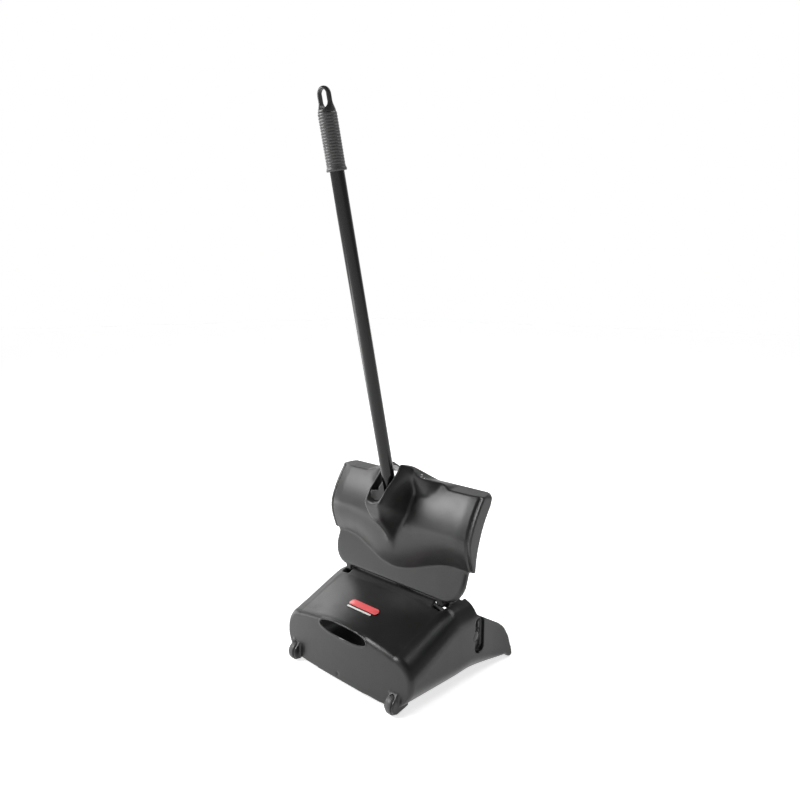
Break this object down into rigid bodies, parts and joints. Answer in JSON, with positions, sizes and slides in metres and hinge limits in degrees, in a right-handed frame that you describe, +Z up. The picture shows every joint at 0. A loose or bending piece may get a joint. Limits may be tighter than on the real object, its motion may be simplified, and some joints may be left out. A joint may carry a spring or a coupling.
{
  "type": "lobby dust pan",
  "caption": "Long-handled upright dust pan with a hooded pan, rear wheels and a self-closing cover worked by the tilting handle.",
  "frame": {"origin": "centre of the bounding box's footprint, at floor level", "axes": "+Z up along the handle's side, +X across the pan, +Y from the front lip to the rear wheels"},
  "size_m": [0.33, 0.303, 0.931],
  "materials": {
    "pan_plastic": "satin moulded charcoal",
    "cover_plastic": "satin moulded charcoal",
    "wheel_plastic": "matte grey moulding",
    "grip_plastic": "matte ribbed sleeve",
    "cap_plastic": "semi-gloss black",
    "tube_paint": "gloss black coating",
    "badge_red": "plain printed label",
    "badge_pale": "plain printed label",
    "steel": "plated wire pins"
  },
  "bodies": {
    "pan": {"pan_body": "pan_plastic", "badge_plate": "badge_red", "badge_strip": "badge_pale", "cover_hinge_pin_left": "steel", "cover_hinge_pin_right": "steel", "wheel_axle_left": "steel", "wheel_axle_right": "steel"},
    "cover": {"cover_shell": "cover_plastic"},
    "handle": {"yoke": "pan_plastic", "yoke_pin_left": "tube_paint", "yoke_pin_right": "tube_paint", "yoke_clip_left": "steel", "yoke_clip_right": "steel", "handle_tube": "tube_paint", "handle_bolt": "steel", "handle_nut": "steel", "grip_sleeve": "grip_plastic", "hang_cap": "cap_plastic"},
    "left_wheel": {"wheel_left": "wheel_plastic"},
    "right_wheel": {"wheel_right": "wheel_plastic"}
  },
  "joints": [
    {"name": "handle_tilt", "type": "hinge", "parent": "pan", "child": "handle", "pos_m": [0, -0.0515, 0.074], "axis": [1, 0, 0], "range_deg": [0, 102.4]},
    {"name": "cover_swing", "type": "hinge", "parent": "pan", "child": "cover", "pos_m": [0, -0.0275, 0.14035], "axis": [1, 0, 0], "range_deg": [0, 123.5]},
    {"name": "left_wheel_spin", "type": "hinge", "parent": "pan", "child": "left_wheel", "pos_m": [0.118, 0.1165, 0.0155], "axis": [1, 0, 0], "continuous": true},
    {"name": "right_wheel_spin", "type": "hinge", "parent": "pan", "child": "right_wheel", "pos_m": [-0.118, 0.1165, 0.0155], "axis": [1, 0, 0], "continuous": true}
  ],
  "couplings": [
    {"joint": "cover_swing", "follows": "handle_tilt", "ratio": 1.206}
  ]
}
